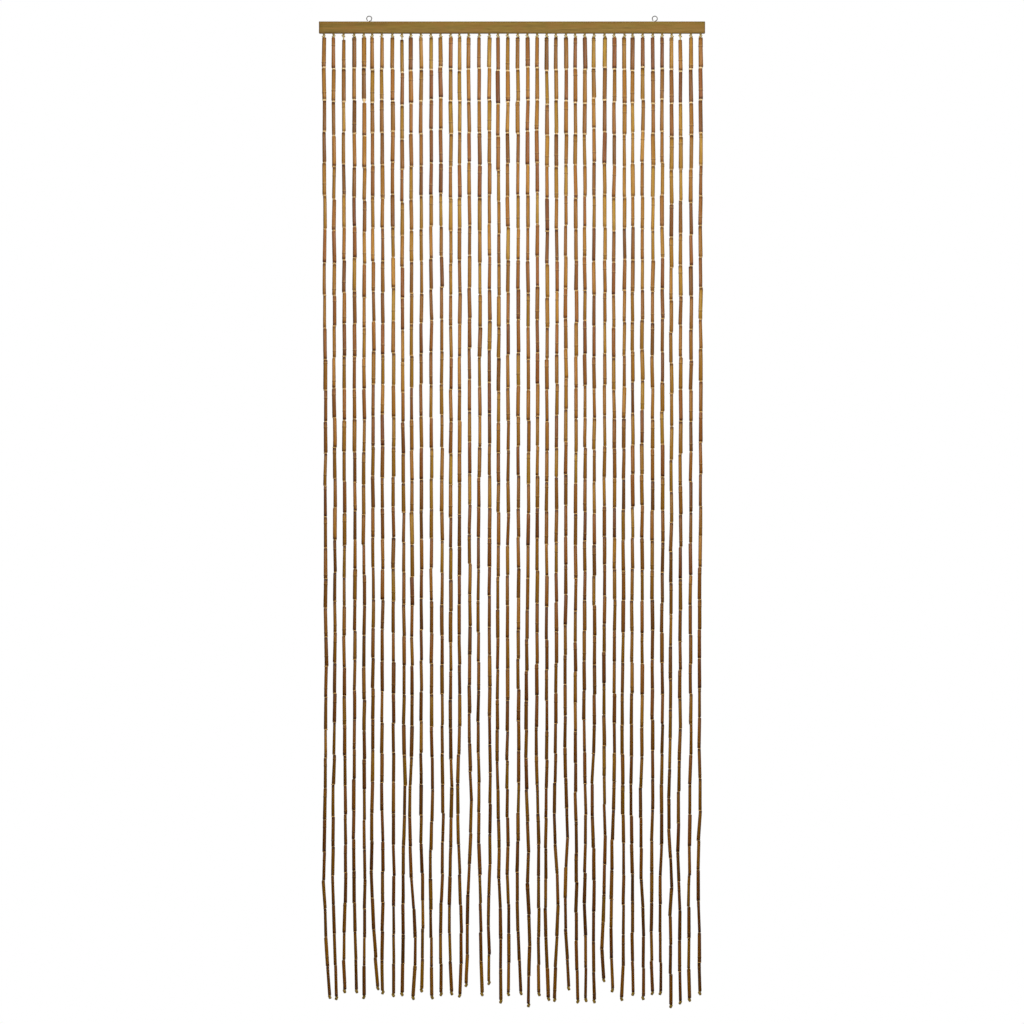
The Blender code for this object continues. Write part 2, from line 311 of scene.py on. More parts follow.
def stick_radii(number):
    """The radius of each stick's lower end: seeded, and thinner towards the foot."""
    draws = np.random.default_rng(RADIUS_SEED + number)
    varied = 1 + draws.uniform(-THICKNESS_VARIES, THICKNESS_VARIES, STICKS)
    return STICK_RADIUS * varied * np.interp(np.arange(1, STICKS + 1), THICKNESS_AT_STICK, THICKNESS_SHARE)


def stick_traits(number):
    """Seeded traits of one strand's sticks.

    They are the small end's share of the large end, the oval section, the bow and its direction, whether
    there is a node and where, the tone, the upper end's share of the darker ends, and the play on the cord.
    """
    draws = np.random.default_rng(TRAIT_SEED + number)
    in_top = draws.random(STICKS) < NODE_IN_TOP_HALF
    high, low = draws.uniform(*NODE_NEAR_TOP, STICKS), draws.uniform(*NODE_NEAR_FOOT, STICKS)
    return {
        "taper": draws.uniform(*SMALL_END, STICKS),
        "oval": draws.uniform(-OVAL, OVAL, STICKS),
        "bow": draws.uniform(-BOW, BOW, STICKS),
        "bow_turn": draws.uniform(0, TURN, STICKS),
        "node_at": np.where(in_top, high, low),
        "has_node": (draws.random(STICKS) < NODE_SHARE).astype(float),
        "tone": draws.random(STICKS),
        "end_and_hue": draws.random(STICKS),
        "play": draws.uniform(-PLAY, PLAY, (2, STICKS, 3)) * (1, 1, 0),
    }


def ring_heights(length, node):
    """How far down its stick each ring lies: mouth, rim, shoulder, three at the node, and the same back."""
    top = np.zeros_like(length)
    upper = [top + MOUTH_DEPTH, top, top + RIM_DROP]
    middle = [node - NODE_HALF, node, node + NODE_HALF]
    lower = [length - RIM_DROP, length, length - MOUTH_DEPTH]
    return np.concatenate([*upper, *middle, *lower], axis=1)


def ring_radii(number, traits, share, from_node):
    """Each ring's radius: a straight taper, times a ridge at the node with a waist just below it.

    The ridge and the waist are bell curves of the distance from the node. The rims are set in by a chamfer,
    and the mouths are as wide as the bore.
    """
    outer = stick_radii(number)[:, None] * (traits["taper"][:, None] * (1 - share) + share)
    ridge = NODE_RAISED * np.exp(-((NODE_STEEP * from_node) ** 2))
    waist = NODE_WAIST * np.exp(-((from_node - 1) ** 2) * WAIST_STEEP)
    outer = outer * (1 + traits["has_node"][:, None] * (ridge + waist))
    outer[:, RIM_RINGS] -= RIM_WIDTH
    outer[:, MOUTH_RINGS] = BORE_RADIUS
    return outer


def stick_surface(number):
    """(sticks, rings, around, 3) points, and each ring's place down its stick from 0 at the top to 1.

    A point is the stick's straight axis at its ring's height, plus a bow of half a sine wave, plus the ring's
    radius times the cosine and sine of its angle along the two directions square to the axis.
    """
    traits = stick_traits(number)
    top, bottom = np.stack(stick_ends(number)) + traits["play"]
    length = np.linalg.norm(bottom - top, axis=1)[:, None]
    node = traits["node_at"][:, None] * length
    heights = ring_heights(length, node)
    share = heights / length
    outer = ring_radii(number, traits, share, (heights - node) / NODE_HALF)
    angle = ring_angles(AROUND)
    down = unit(bottom - top)
    across = unit(np.cross(down, (0.0, 1.0, 0.0)))
    front = np.cross(down, across)
    oval = traits["oval"][:, None, None]
    reach_x = outer[:, :, None] * np.cos(angle) * (1 + oval)
    reach_y = outer[:, :, None] * np.sin(angle) * (1 - oval)
    bend = (traits["bow"][:, None] * np.sin(math.pi * share))[:, :, None]
    turn = traits["bow_turn"][:, None, None]
    points = (
        top[:, None, None]
        + down[:, None, None] * heights[:, :, None, None]
        + across[:, None, None] * (reach_x + bend * np.cos(turn))[..., None]
        + front[:, None, None] * (reach_y + bend * np.sin(turn))[..., None]
    )
    return points, share


points, share = stick_surface(1)
RINGS = points.shape[1]
widest = np.ptp(points[0, :, :, 0]) * 1000
print("a stick has", RINGS * AROUND, "faces; its widest ring is", round(widest, 2), "mm")

# %% [markdown]
# Finishes from nodes
#
# A node material reads like a recipe, so a small helper adds a node, sets its values and plugs in its
# inputs in one line. Patterns take their place from Object coordinates, which run in metres through the
# whole curtain, or from the piece's own UV map where they have to follow a stick or a cord.

# %% A helper for node materials


class Recipe:
    """A new material with its Principled shader, and short ways to add and join nodes."""

    def __init__(self, name):
        self.material = bpy.data.materials.new(name)
        self.material.use_nodes = True
        self.nodes = self.material.node_tree.nodes
        self.links = self.material.node_tree.links
        self.shader = self.nodes["Principled BSDF"]

    def feed(self, socket, value):
        """Plugs in another node's output, or sets a plain value."""
        if isinstance(value, bpy.types.NodeSocket):
            self.links.new(value, socket)
        else:
            socket.default_value = value

    def add(self, kind, inputs=None, **settings):
        """Adds a node; inputs are keyed by socket name or number."""
        node = self.nodes.new("ShaderNode" + kind)
        for key, value in settings.items():
            setattr(node, key, value)
        for key, value in (inputs or {}).items():
            self.feed(node.inputs[key], value)
        return node

    def held(self, key):
        """The value that each point of the mesh holds under this name."""
        return self.add("Attribute", attribute_name=key).outputs["Fac"]

    def object_place(self):
        """Object coordinates, in metres from the curtain's origin."""
        return self.add("TexCoord").outputs["Object"]

    def parts(self, vector):
        """The X, Y and Z of a vector."""
        return self.add("SeparateXYZ", {0: vector}).outputs

    def math(self, operation, first, second=0.0, third=0.0):
        """The output of a Math node."""
        return self.add("Math", {0: first, 1: second, 2: third}, operation=operation).outputs[0]

    def ramp(self, factor, stops):
        """The colour output of a ramp through (place, colour) stops; a plain number is a grey."""
        node = self.add("ValToRGB", {"Fac": factor})
        while len(node.color_ramp.elements) < len(stops):
            node.color_ramp.elements.new(0.5)
        for element, (place, colour) in zip(node.color_ramp.elements, stops):
            element.position = place
            element.color = (colour,) * 3 + (1,) if isinstance(colour, float) else (*colour, 1)
        return node.outputs["Color"]

    def noise(self, vector, scale, detail=2.0, roughness=0.5):
        """The grey output of a noise pattern, about 0.5 on average."""
        inputs = {"Vector": vector, "Scale": scale, "Detail": detail, "Roughness": roughness}
        return self.add("TexNoise", inputs).outputs[0]

    def mix(self, kind, factor, first, second):
        """Two colours mixed or multiplied, by a factor."""
        node = self.add("Mix", data_type="RGBA", blend_type=kind)
        for socket, value in zip((node.inputs[0], node.inputs[6], node.inputs[7]), (factor, first, second)):
            self.feed(socket, value)
        return node.outputs[2]

    def place(self, scale, location=(0.0, 0.0, 0.0)):
        """Object coordinates, stretched and shifted."""
        inputs = {"Vector": self.object_place(), "Scale": scale, "Location": location}
        return self.add("Mapping", inputs).outputs[0]

    def bump(self, height, distance, strength=1.0):
        """Lets a grey pattern raise the surface by up to a distance in metres."""
        inputs = {"Height": height, "Distance": distance, "Strength": strength}
        self.links.new(self.add("Bump", inputs).outputs[0], self.shader.inputs["Normal"])

    def finish(self, sockets):
        """Fills the shader's own sockets, keyed by name, and hands back the material."""
        for key, value in sockets.items():
            self.feed(self.shader.inputs[key], value)
        print(self.material.name, "is made of", len(self.nodes), "nodes")
        return self.material


# %% [markdown]
# Bamboo
#
# Thin cane dries to anything from straw gold through orange to a dark red brown, and a curtain mixes them
# at random. Each stick therefore carries one tone, a value held by all its points, which a ramp turns into
# its colour, and a second value shifts that a little from ruddy to olive. Fine streaks run lengthwise, so
# their noise is squeezed along the height. Both ends of a stick are darkened, one more than the other, and a
# node has a dark line with a pale one beside it; both are measured along the stick's own UV. A tint by height
# turns the cane darker and redder from the rail to the feet: painted shade, for the light that falls away.

# %% The bamboo's colours
CANE_TONES = (
    (0.00, (0.225, 0.094, 0.035)),
    (0.12, (0.298, 0.125, 0.044)),
    (0.32, (0.366, 0.157, 0.045)),
    (0.60, (0.402, 0.186, 0.042)),
    (0.84, (0.434, 0.215, 0.042)),
    (1.00, (0.544, 0.300, 0.065)),
)
RUDDY_TO_OLIVE = ((0.0, (1.0, 0.90, 0.90)), (1.0, (0.91, 1.0, 0.80)))
# Painted shade: the cane turns darker and redder towards the feet, for the light that falls away below.
FOOT_PAINTED_SHADE = (1.0, 0.76, 0.06, 1)
# Each stick is darkened near both ends, over the last tenth of its length.
END_DARKENING = ((0.0, (0.17, 0.09, 0.04)), (0.040, (0.42, 0.31, 0.21)), (0.100, (1.0, 1.0, 1.0)))
NODE_LINE = (0.085, 0.036, 0.012, 1)
NODE_PALE = (0.56, 0.34, 0.10, 1)
NODE_LINE_FADES = ((0.0, 1.0), (0.011, 0.75), (0.026, 0.0))
NODE_PALE_FADES = ((0.0, 1.0), (0.024, 0.0))
NODE_LINE_STRENGTH = 0.45
NODE_PALE_STRENGTH = 0.42
NODE_PALE_ABOVE = 0.035
PATCHES_SHIFT_TONE = 0.34
STREAK_SHADES = ((0.30, 0.50), (0.50, 0.92), (0.68, 1.0))
STREAK_STRENGTH = 0.75
CANE_ROUGHNESS = ((0.3, 0.56), (0.7, 0.36))
CANE_GLOSS = {"Specular IOR Level": 0.22, "Coat Weight": 0.06, "Coat Roughness": 0.3}
CANE_RELIEF = 0.4 * MM

# %% The bamboo material


def down_curtain(r):
    """How far down the curtain a point lies, from 0 at the rail's top to 1 at the feet."""
    return r.math("DIVIDE", r.parts(r.object_place())[2], -CURTAIN_DROP)


def darken_ends(r, colour, down, end_and_hue):
    """Darkens both ends: the upper by the stick's own drawn value and the lower by the rest of it to 1."""
    from_end = r.math("MINIMUM", down, r.math("SUBTRACT", 1.0, down))
    strength = r.math("ABSOLUTE", r.math("SUBTRACT", end_and_hue, r.math("GREATER_THAN", down, 0.5)))
    return r.mix("MULTIPLY", strength, colour, r.ramp(from_end, END_DARKENING))


def mark_node(r, colour, down, node_at, has_node):
    """Draws a dark line at the node and a pale one just above it, on the sticks that have a node."""
    offset = r.math("SUBTRACT", down, node_at)
    line = r.math("MULTIPLY", r.ramp(r.math("ABSOLUTE", offset), NODE_LINE_FADES), has_node)
    colour = r.mix("MIX", r.math("MULTIPLY", line, NODE_LINE_STRENGTH), colour, NODE_LINE)
    beside = r.math("ABSOLUTE", r.math("ADD", offset, NODE_PALE_ABOVE))
    pale = r.math("MULTIPLY", r.ramp(beside, NODE_PALE_FADES), has_node)
    return r.mix("MIX", r.math("MULTIPLY", pale, NODE_PALE_STRENGTH), colour, NODE_PALE)


def bamboo_material():
    """Tone and hue from the stick's own values, then streaks, the painted shade by height, the ends and the
    node.
    """
    r = Recipe("bamboo")
    tone, end_and_hue, node_at, has_node = (r.held(key) for key in STICK_VALUES)
    down = r.parts(r.add("UVMap", uv_map="surface").outputs[0])[1]
    streaks = r.noise(r.place((1.0, 1.0, 0.035)), 1100.0, 3.0, 0.6)
    patches = r.noise(r.place((1.0, 1.0, 0.16)), 150.0, 2.0)
    fibres = r.noise(r.place((1.0, 1.0, 0.02)), 3200.0, 1.0)
    patchy = r.math("SUBTRACT", tone, PATCHES_SHIFT_TONE / 2)
    patchy = r.math("MULTIPLY_ADD", patches, PATCHES_SHIFT_TONE, patchy)
    colour = r.mix("MULTIPLY", 1.0, r.ramp(patchy, CANE_TONES), r.ramp(end_and_hue, RUDDY_TO_OLIVE))
    colour = r.mix("MULTIPLY", STREAK_STRENGTH, colour, r.ramp(streaks, STREAK_SHADES))
    # Painted shade by height: darker and redder towards the feet, standing in for the light falling away.
    colour = r.mix("MULTIPLY", down_curtain(r), colour, FOOT_PAINTED_SHADE)
    colour = darken_ends(r, colour, down, end_and_hue)
    colour = mark_node(r, colour, down, node_at, has_node)
    relief = r.math("ADD", r.math("MULTIPLY", streaks, 0.7), r.math("MULTIPLY", fibres, 0.3))
    r.bump(relief, CANE_RELIEF, 0.6)
    return r.finish({"Base Color": colour, "Roughness": r.ramp(streaks, CANE_ROUGHNESS), **CANE_GLOSS})


BAMBOO = bamboo_material()

# %% [markdown]
# Hanging the sticks
#
# All sticks of a strand go into one mesh, since they hang on one cord. The UV map runs once round each
# stick and from 0 at its top to 1 at its foot. It is worked out for each face corner, so that the last
# column ends at 1 instead of jumping back to 0.

# %% Make forty strands of sticks


def strand_uv(share, quads):
    """One UV pair per face corner: the turn round the stick, and the ring's share of its length."""
    u = np.broadcast_to(turn_share(quads, AROUND), (len(share), *quads.shape))
    return np.stack([u, share[:, quads // AROUND]], axis=-1)


def make_sticks(number):
    """One strand's sticks as one mesh, with each stick's own values held by all its points."""
    points, share = stick_surface(number)
    traits = stick_traits(number)
    each = RINGS * AROUND
    quads = grid_quads(RINGS, AROUND, wrap_rows=True)
    faces = many_quads(quads, STICKS, each)
    values = {key: np.repeat(traits[key], each) for key in STICK_VALUES}
    return put_mesh(f"sticks_{number:02d}", points, faces, strand_uv(share, quads), values)


half = STRANDS // 2
for number in range(1, STRANDS + 1):
    replaced = {1: ("strands_left",), half + 1: ("strands_right",)}.get(number, ())
    finish_piece(make_sticks(number), BAMBOO, replaced)
print(STRANDS * STICKS, "sticks hang")

# %% [markdown]
# Cord and knots
#
# One cord runs down each strand: out of the rail, through a stop knot, through every stick and into a last
# knot at the foot, where its cut tail is left. A tube is swept along that path. The knots at its two ends
# are true overhand knots: the curve (t^3 - 3t, t^4 - 4t^2, t^5 - 10t) ties one when t runs from 2.1 to
# -2.1, and its two ends leave it up and down, so it drops straight into the line of the cord. The cord is
# fat and the knot is pulled tight, so its turns press into one lump. Between two sticks sits a smaller
# knot, as wide as the sticks are. Twelve hundred of those are only swellings of the same tube, five rings
# each, made lumpy by a wave round the ring that turns by a quarter from one ring to the next.

# %% Sizes of the cord
CORD_RADIUS = 1.15 * MM
CORD_AROUND = 10
KNOT_POINTS = 41
KNOT_END = 2.1
KNOT_FADES_FROM = 1.5
KNOT_FADES_OVER = 0.6
KNOT_TURN = 0.4
NECK_RADIUS = 2.5 * MM
TOP_KNOT_CORD = 1.8 * MM
TOP_KNOT_WIDE = 1.05 * MM
TOP_KNOT_TALL = 0.11 * MM
TOP_KNOT_BELOW_RAIL = 5.7 * MM
FOOT_KNOT_CORD = 2.65 * MM
FOOT_KNOT_WIDE = 0.58 * MM
FOOT_KNOT_TALL = 0.18 * MM
FOOT_KNOT_BELOW_STICK = 3.6 * MM
FOOT_KNOT_LEFT_OUT = 6
KNOT_ASIDE = 0.35 * MM
ASIDE_BY_AXIS = (1, 0.5, 0)
IN_STICK = 2.5 * MM
IN_RAIL = 6 * MM
NECK_LENGTH = 2.2 * MM
TAIL_LEAN = 0.9 * MM
TAIL_FROM = 0.3
TAIL_THINS = (0.95, 0.75, 0.4)
# The cord is darkened from inside the rail down to this depth below it, fading out over the next length.
DARK_NECK_FROM = 3.2 * MM
DARK_NECK_FADES = 1.2 * MM
TIGHT_AT = (0.02, 0.16, 0.50, 0.84, 0.98)
TIGHT_WIDE = (3.1 * MM, 3.9 * MM, 4.15 * MM, 3.95 * MM, 3.1 * MM)
TIGHT_TALL = 4.5 * MM
TIGHT_LUMPS = (0.0, 0.06, 0.08, 0.06, 0.0)
TIGHT_VARIES = (0.80, 1.05)
TIGHT_GROWS = 1.07
WRAPS = 2.5
CORD_SHARP = math.radians(85)
CORD_SEED = 13 * SEED * STRANDS
print("the cord is", round(2 * CORD_RADIUS / MM, 1), "mm thick inside the sticks")

# %% The cord's path


def knot_points(centre, wide, tall, turn, flip):
    """An overhand knot's path, top to bottom, about a centre, turned about the cord by an angle.

    Near its two ends a smooth step from 1 to 0 draws the curve in, so that it leaves along the cord's line.
    """
    t = np.linspace(KNOT_END, -KNOT_END, KNOT_POINTS)
    fade = np.clip((np.abs(t) - KNOT_FADES_FROM) / KNOT_FADES_OVER, 0, 1)
    held = 1 - fade * fade * (3 - 2 * fade)
    x = flip * wide * (t**3 - 3 * t) * held
    y = wide * (t**4 - 4 * t**2 + 2) * held
    z = tall * (t**5 - 10 * t)
    cos, sin = math.cos(turn), math.sin(turn)
    return np.stack([x * cos - y * sin, x * sin + y * cos, z], axis=1) + centre


def tight_knots(number, top, bottom, draws):
    """Points and radii of the cord through all joints of a strand.

    They are laid out as one row per joint: a point inside the upper stick, the five rings of the tight knot
    at their shares of the gap, and a point inside the lower stick.
    """
    gap = (top[1:] - bottom[:-1])[:, None]
    open_by = np.linalg.norm(gap, axis=2, keepdims=True)
    shares = np.array(TIGHT_AT)[None, :, None] * np.minimum(1, TIGHT_TALL / open_by)
    knots = bottom[:-1, None] + gap * shares
    over = bottom[:-1, None] + (0, 0, IN_STICK)
    under = top[1:, None] - (0, 0, IN_STICK)
    size = draws.uniform(*TIGHT_VARIES, (STICKS - 1, 1)) * stick_radii(number)[:-1, None] / STICK_RADIUS
    size = size * np.linspace(1, TIGHT_GROWS, STICKS - 1)[:, None]
    narrow = np.full((STICKS - 1, 1), CORD_RADIUS)
    wide = np.concatenate([narrow, np.array(TIGHT_WIDE) * size, narrow], axis=1)
    return np.concatenate([over, knots, under], axis=1).reshape(-1, 3), wide.ravel()


def cut_tail(knot_end, foot, lean):
    """The tail's points: a straight line from the knot's end to the foot, curving aside as a square grows."""
    reach = np.linspace(TAIL_FROM, 1, len(TAIL_THINS))[:, None]
    straight = knot_end + (foot - knot_end) * reach
    return straight + reach**2 * TAIL_LEAN * np.array([math.cos(lean), math.sin(lean), 0])


def cord_path(number):
    """One strand's cord: points, radii, lumps of the tight knots, where it is darkened and where it is an
    end.

    It runs through the neck in the rail, the upper knot, a point inside the first stick, all the joints, a
    point inside the last stick, the lower knot short of its last points, and the tail.
    """
    top, bottom = stick_ends(number)
    draws = np.random.default_rng(CORD_SEED + number)
    turns = draws.uniform(-KNOT_TURN, KNOT_TURN, 2)
    flips = np.where(draws.random(2) < 0.5, -1, 1)
    aside = draws.uniform(-KNOT_ASIDE, KNOT_ASIDE, (2, 3)) * ASIDE_BY_AXIS
    threaded, thick = tight_knots(number, top, bottom, draws)
    start = top[0] * (1, 0, 0) + (0, 0, -RAIL_HEIGHT)
    neck = start + np.array([(0, 0, IN_RAIL), (0, 0, 0), (0, 0, -NECK_LENGTH)])
    centre = start - (0, 0, TOP_KNOT_BELOW_RAIL) + aside[0]
    upper = knot_points(centre, TOP_KNOT_WIDE, TOP_KNOT_TALL, turns[0], flips[0])
    centre = bottom[-1] - (0, 0, FOOT_KNOT_BELOW_STICK) + aside[1]
    lower = knot_points(centre, FOOT_KNOT_WIDE, FOOT_KNOT_TALL, turns[1], flips[1])[:-FOOT_KNOT_LEFT_OUT]
    tail = cut_tail(lower[-1], bottom[-1] - (0, 0, FOOT_LENGTH), draws.uniform(0, TURN))
    runs = (
        (neck, NECK_RADIUS),
        (upper, TOP_KNOT_CORD),
        ([top[0] - (0, 0, IN_STICK)], CORD_RADIUS),
        (threaded, thick),
        ([bottom[-1] + (0, 0, IN_STICK)], CORD_RADIUS),
        (lower, FOOT_KNOT_CORD),
        (tail, FOOT_KNOT_CORD * np.array(TAIL_THINS)),
    )
    points = np.concatenate([run for run, _ in runs])
    radius = np.concatenate([np.broadcast_to(wide, len(run)) for run, wide in runs])
    first = len(neck) + len(upper) + 1
    between = slice(first, first + len(threaded))
    lumps = np.zeros(len(points))
    lumps[between] = np.tile((0, *TIGHT_LUMPS, 0), STICKS - 1)
    ends = np.ones(len(points))
    ends[between] = 0
    dark_neck = np.clip(1 - (start[2] - points[:, 2] - DARK_NECK_FROM) / DARK_NECK_FADES, 0, 1)
    return points, radius, lumps, dark_neck, ends


def tube(path, radius):
    """(points, around, 3) of a tube with a radius for each point and angle, its rings square to the path."""
    along = unit(np.gradient(path, axis=0))
    side = unit(np.cross(along, (1.0, 0.0, 0.0)))
    other = np.cross(along, side)
    angle = ring_angles(radius.shape[1])
    round_x, round_y = radius * np.cos(angle), radius * np.sin(angle)
    return path[:, None] + round_x[..., None] * side[:, None] + round_y[..., None] * other[:, None]


path = cord_path(1)[0]
length = np.linalg.norm(np.diff(path, axis=0), axis=1).sum()
print("a cord has", len(path), "rings and is", round(length, 3), "m long")

# %% [markdown]
# Cord fibre
#
# The cord is two pale strings of plant fibre twisted together. Its UV map runs round it and along it in
# metres, so a slanted wave in UV follows it through every knot. The wave raises the middle of each ply, and
# lightens it and darkens the groove between them as painted light and shade. Between the sticks the fibre is
# peach, under a painted shade by height that darkens and warms it down the curtain. The end knots are cream
# at the rail, painted darker there as shade under the rail, and yellow at the feet, and close under the rail
# the cord is darker and browner.

# %% The cord's colours
PLY_PITCH = 5.0 * MM
# The cord's darker brown close under the rail.
CORD_DARK_NECK = (0.19, 0.115, 0.018, 1)
# Each cord ramp runs from the groove between the plies to their middle: the darker groove and lighter middle
# are painted shade and light.
CORD_INNER = ((0.0, (0.84, 0.51, 0.19)), (0.35, (1.0, 0.72, 0.34)), (1.0, (1.0, 0.82, 0.44)))
# Painted shade by height: it darkens and warms the cord between the sticks down the curtain, for the light
# that falls away.
CORD_SHADE_BY_HEIGHT = (
    (0.00, (1.00, 1.00, 1.00)),
    (0.085, (1.00, 0.96, 0.96)),
    (0.15, (0.73, 0.60, 0.45)),
    (0.50, (0.87, 0.69, 0.43)),
    (0.65, (1.00, 0.78, 0.43)),
    (1.00, (1.00, 0.74, 0.36)),
)
# Painted shade under the rail: the end knots at the rail are given a darker colour than the cord between the
# sticks.
CORD_SHADED_UNDER_RAIL = ((0.0, (0.34, 0.25, 0.075)), (0.45, (0.58, 0.44, 0.17)), (1.0, (0.68, 0.54, 0.25)))
CORD_YELLOWED = ((0.0, (0.42, 0.25, 0.020)), (0.45, (0.64, 0.40, 0.045)), (1.0, (0.70, 0.47, 0.08)))
CORD_DARK_NECK_STRENGTH = 0.9
CORD_UNEVEN = 0.4
FUZZ_SHADES = ((0.3, 0.70), (0.6, 1.0))
SOIL_SHADES = ((0.35, (0.74, 0.74, 0.55)), (0.55, (1.0, 1.0, 1.0)))
PLY_RELIEF = 0.5 * MM

# %% The cord material


def cord_material():
    """Two plies by a slanted sine wave in UV, coloured by height and by place, then darkened at the neck and
    fuzzed.
    """
    r = Recipe("cord")
    across, along, _ = r.parts(r.add("UVMap", uv_map="surface").outputs[0])
    turns = r.math("ADD", r.math("MULTIPLY", across, 2.0), r.math("DIVIDE", along, PLY_PITCH))
    # Painted light and shade of the twist: the ramps on this wave darken the groove and lighten each ply's
    # middle.
    ply = r.math("MULTIPLY_ADD", r.math("SINE", r.math("MULTIPLY", turns, TURN)), 0.5, 0.5)
    fuzz = r.noise(r.place((1.0, 1.0, 0.4)), 2600.0, 2.0)
    soil = r.noise(r.place((1.0, 1.0, 1.0)), 90.0, 2.0)
    lower = down_curtain(r)
    # The cord's ends: darker at the rail as painted shade under it, yellow towards the feet.
    end_colour = r.mix("MIX", lower, r.ramp(ply, CORD_SHADED_UNDER_RAIL), r.ramp(ply, CORD_YELLOWED))
    # Painted shade by height on the cord between the sticks.
    between = r.mix("MULTIPLY", 1.0, r.ramp(ply, CORD_INNER), r.ramp(lower, CORD_SHADE_BY_HEIGHT))
    colour = r.mix("MIX", r.held("ends"), between, end_colour)
    # Darkens the cord close under the rail.
    colour = r.mix("MIX", r.math("MULTIPLY", r.held("dark_neck"), CORD_DARK_NECK_STRENGTH), colour, CORD_DARK_NECK)
    colour = r.mix("MULTIPLY", CORD_UNEVEN, colour, r.ramp(fuzz, FUZZ_SHADES))
    colour = r.mix("MULTIPLY", CORD_UNEVEN, colour, r.ramp(soil, SOIL_SHADES))
    r.bump(r.math("ADD", ply, r.math("MULTIPLY", fuzz, 0.4)), PLY_RELIEF, 0.9)
    return r.finish({"Base Color": colour, "Roughness": 0.85})


CORD = cord_material()

# %% Make forty cords


def make_cord(number):
    """A closed tube down the whole strand; the tight knots wrap their plies closer and swell unevenly."""
    path, radius, lumps, dark_neck, ends = cord_path(number)
    tight = (lumps > 0).astype(float)
    turned = np.arange(len(path)) * math.pi / 2
    angle = ring_angles(CORD_AROUND)
    swell = 1 + lumps[:, None] * np.cos(2 * (angle[None] + number) + 2 * turned[:, None])
    rings = tube(path, radius[:, None] * swell)
    steps = np.linalg.norm(np.diff(path, axis=0), axis=1) * (1 + WRAPS * (tight[1:] + tight[:-1]) / 2)
    wound = np.concatenate([[0.0], np.cumsum(steps)])
    quads = grid_quads(len(path), CORD_AROUND)[:, ::-1]
    uv = np.stack([turn_share(quads, CORD_AROUND), wound[quads // CORD_AROUND]], axis=-1).reshape(-1, 2)
    uv = np.concatenate([uv, np.zeros((2 * CORD_AROUND, 2))])
    faces = [*quads, *end_caps(len(path), CORD_AROUND)]
    values = {"dark_neck": np.repeat(dark_neck, CORD_AROUND), "ends": np.repeat(ends, CORD_AROUND)}
    return put_mesh(f"cord_{number:02d}", rings, faces, uv, values, sharp=CORD_SHARP)


for number in range(1, STRANDS + 1):
    finish_piece(make_cord(number), CORD)
print(STRANDS, "cords tied")

# %% [markdown]
# The rail
#
# The rail is a planed batten with its edges just broken by sandpaper. Its section is a rounded rectangle,
# made from four quarter circles, and the sweep along the length moves each section by a fraction of a
# millimetre, as hand-fed timber does. Forty holes are then drilled up into it with one Boolean, one for
# each cord.

# %% Sizes of the rail's surface
EDGE_RADIUS = 0.8 * MM
CORNER_POINTS = 5
STATIONS = 90
END_STEP = 0.3
RAIL_SHARP = math.radians(35)
WAVER = 0.12 * MM
# Each wave along the rail is its radians a metre, where it starts and its share.
UNDERSIDE_WAVES = ((9.1, 0.4, 0.6), (23.0, 1.9, 0.4))
SIDE_WAVES = ((6.3, 2.2, 1.0),)
HOLE_RADIUS = 2.1 * MM
HOLE_DEPTH = 8 * MM
HOLE_AROUND = 12
DRILL_BELOW = 2 * MM

# %% The rail's surface


def rail_section():
    """Rounded rectangle in (y, z): each corner is a quarter circle about a centre set in by the radius."""
    quarter = np.linspace(0, math.pi / 2, CORNER_POINTS)
    turns = (np.arange(4) * math.pi / 2)[:, None] + quarter
    centre_y = np.array([1, -1, -1, 1])[:, None] * (RAIL_DEPTH / 2 - EDGE_RADIUS)
    centre_z = np.array([1, 1, -1, -1])[:, None] * (RAIL_HEIGHT / 2 - EDGE_RADIUS)
    y, z = centre_y + EDGE_RADIUS * np.cos(turns), centre_z + EDGE_RADIUS * np.sin(turns)
    return np.stack([y, z], axis=-1).reshape(-1, 2)


def waver(x, waves):
    """The sum of some sine waves along the rail."""
    return WAVER * sum(share * np.sin(rate * x + start) for rate, start, share in waves)


def make_rail():
    """The section swept along X, drawn in over the last edge radius at each end to break the end's edges."""
    section = rail_section()
    half_length = RAIL_LENGTH / 2
    inner = np.linspace(-half_length + EDGE_RADIUS, half_length - EDGE_RADIUS, STATIONS)
    ends = half_length - EDGE_RADIUS * np.array([0.0, END_STEP])
    x = np.concatenate([-ends, inner, ends[::-1]])
    drawn_in = np.zeros(len(x))
    drawn_in[[0, -1]] = EDGE_RADIUS
    drawn_in[[1, -2]] = EDGE_RADIUS * END_STEP
    sign_y, sign_z = np.sign(section).T
    y = section[None, :, 0] - sign_y * drawn_in[:, None] + waver(x, SIDE_WAVES)[:, None]
    z = section[None, :, 1] - sign_z * drawn_in[:, None]
    z = z + waver(x, UNDERSIDE_WAVES)[:, None] * (sign_z < 0)
    points = np.stack([np.broadcast_to(x[:, None], y.shape), y, z - RAIL_HEIGHT / 2], axis=-1)
    rows, columns = y.shape
    faces = [*grid_quads(rows, columns), *end_caps(rows, columns)]
    return put_mesh("rail_batten", points, faces, sharp=RAIL_SHARP)


